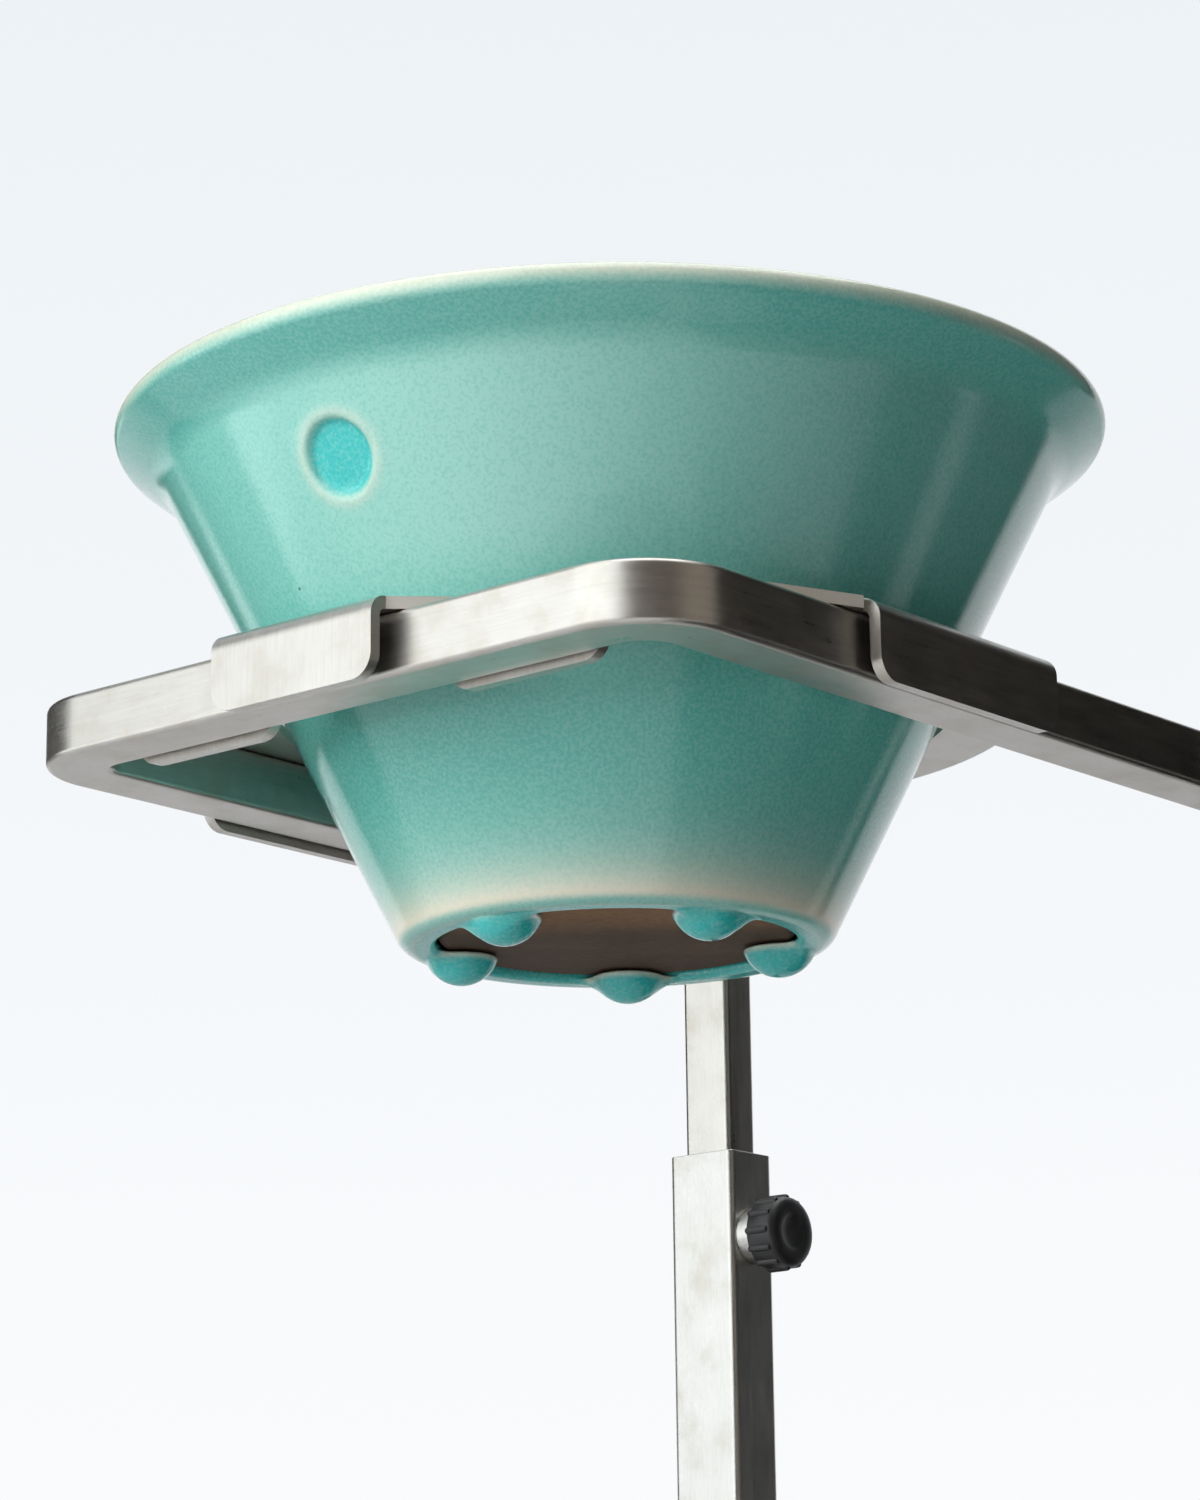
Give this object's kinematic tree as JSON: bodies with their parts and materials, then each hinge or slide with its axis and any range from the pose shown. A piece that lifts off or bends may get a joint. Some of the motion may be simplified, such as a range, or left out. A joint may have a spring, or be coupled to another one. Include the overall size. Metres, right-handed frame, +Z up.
{
  "type": "pour-over coffee dripper",
  "caption": "Glazed conical pour-over cup with a lobed outlet, held in a sheet-steel ring on a U-shaped bar frame whose legs slide in clamped sleeves above a base plate.",
  "frame": {"origin": "on the table under the middle of the base plate", "axes": "+Z up, -Y towards the closed front bar, +Y towards the legs, +X to the right seen from the front"},
  "size_m": [0.13, 0.158, 0.2102],
  "materials": {
    "celadon_glaze": "gloss",
    "brown_paper": "matte",
    "ring_steel": "brushed",
    "bar_steel": "brushed",
    "tube_steel": "brushed",
    "plate_steel": "brushed",
    "screw_steel": "satin",
    "black_knob": "matte",
    "foot_rubber": "matte"
  },
  "bodies": {
    "base": {"base_plate": "plate_steel", "front_left_foot": "foot_rubber", "front_right_foot": "foot_rubber", "rear_left_foot": "foot_rubber", "rear_right_foot": "foot_rubber", "foot_screws": "screw_steel", "sleeve_screws": "screw_steel", "left_sleeve": "tube_steel", "right_sleeve": "tube_steel", "left_sleeve_plug": "bar_steel", "right_sleeve_plug": "bar_steel", "left_clamp_boss": "tube_steel", "right_clamp_boss": "tube_steel"},
    "carriage": {"u_frame": "bar_steel", "left_leg": "bar_steel", "right_leg": "bar_steel"},
    "left_thumbscrew": {"left_thumbscrew_stud": "screw_steel", "left_thumbscrew_knob": "black_knob"},
    "right_thumbscrew": {"right_thumbscrew_stud": "screw_steel", "right_thumbscrew_knob": "black_knob"},
    "ring": {"adapter_ring": "ring_steel"},
    "cup": {"dripper_cup": "celadon_glaze"},
    "filter": {"paper_filter": "brown_paper"}
  },
  "joints": [
    {"name": "height_slide", "type": "slide", "parent": "base", "child": "carriage", "axis": [0, 0, 1], "range_m": [-0.03, 0.035]},
    {"name": "left_thumbscrew_turn", "type": "hinge", "parent": "base", "child": "left_thumbscrew", "pos_m": [-0.04, 0.0669, 0.12], "axis": [1, 0, 0], "range_deg": [0, 360]},
    {"name": "right_thumbscrew_turn", "type": "hinge", "parent": "base", "child": "right_thumbscrew", "pos_m": [0.04, 0.0669, 0.12], "axis": [-1, 0, 0], "range_deg": [0, 360]},
    {"name": "ring_lift", "type": "slide", "parent": "carriage", "child": "ring", "axis": [0, 0, 1], "range_m": [0, 0.05]},
    {"name": "cup_lift", "type": "slide", "parent": "ring", "child": "cup", "axis": [0, 0, 1], "range_m": [0, 0.05]},
    {"name": "filter_lift", "type": "slide", "parent": "cup", "child": "filter", "axis": [0, 0, 1], "range_m": [0, 0.075]}
  ]
}
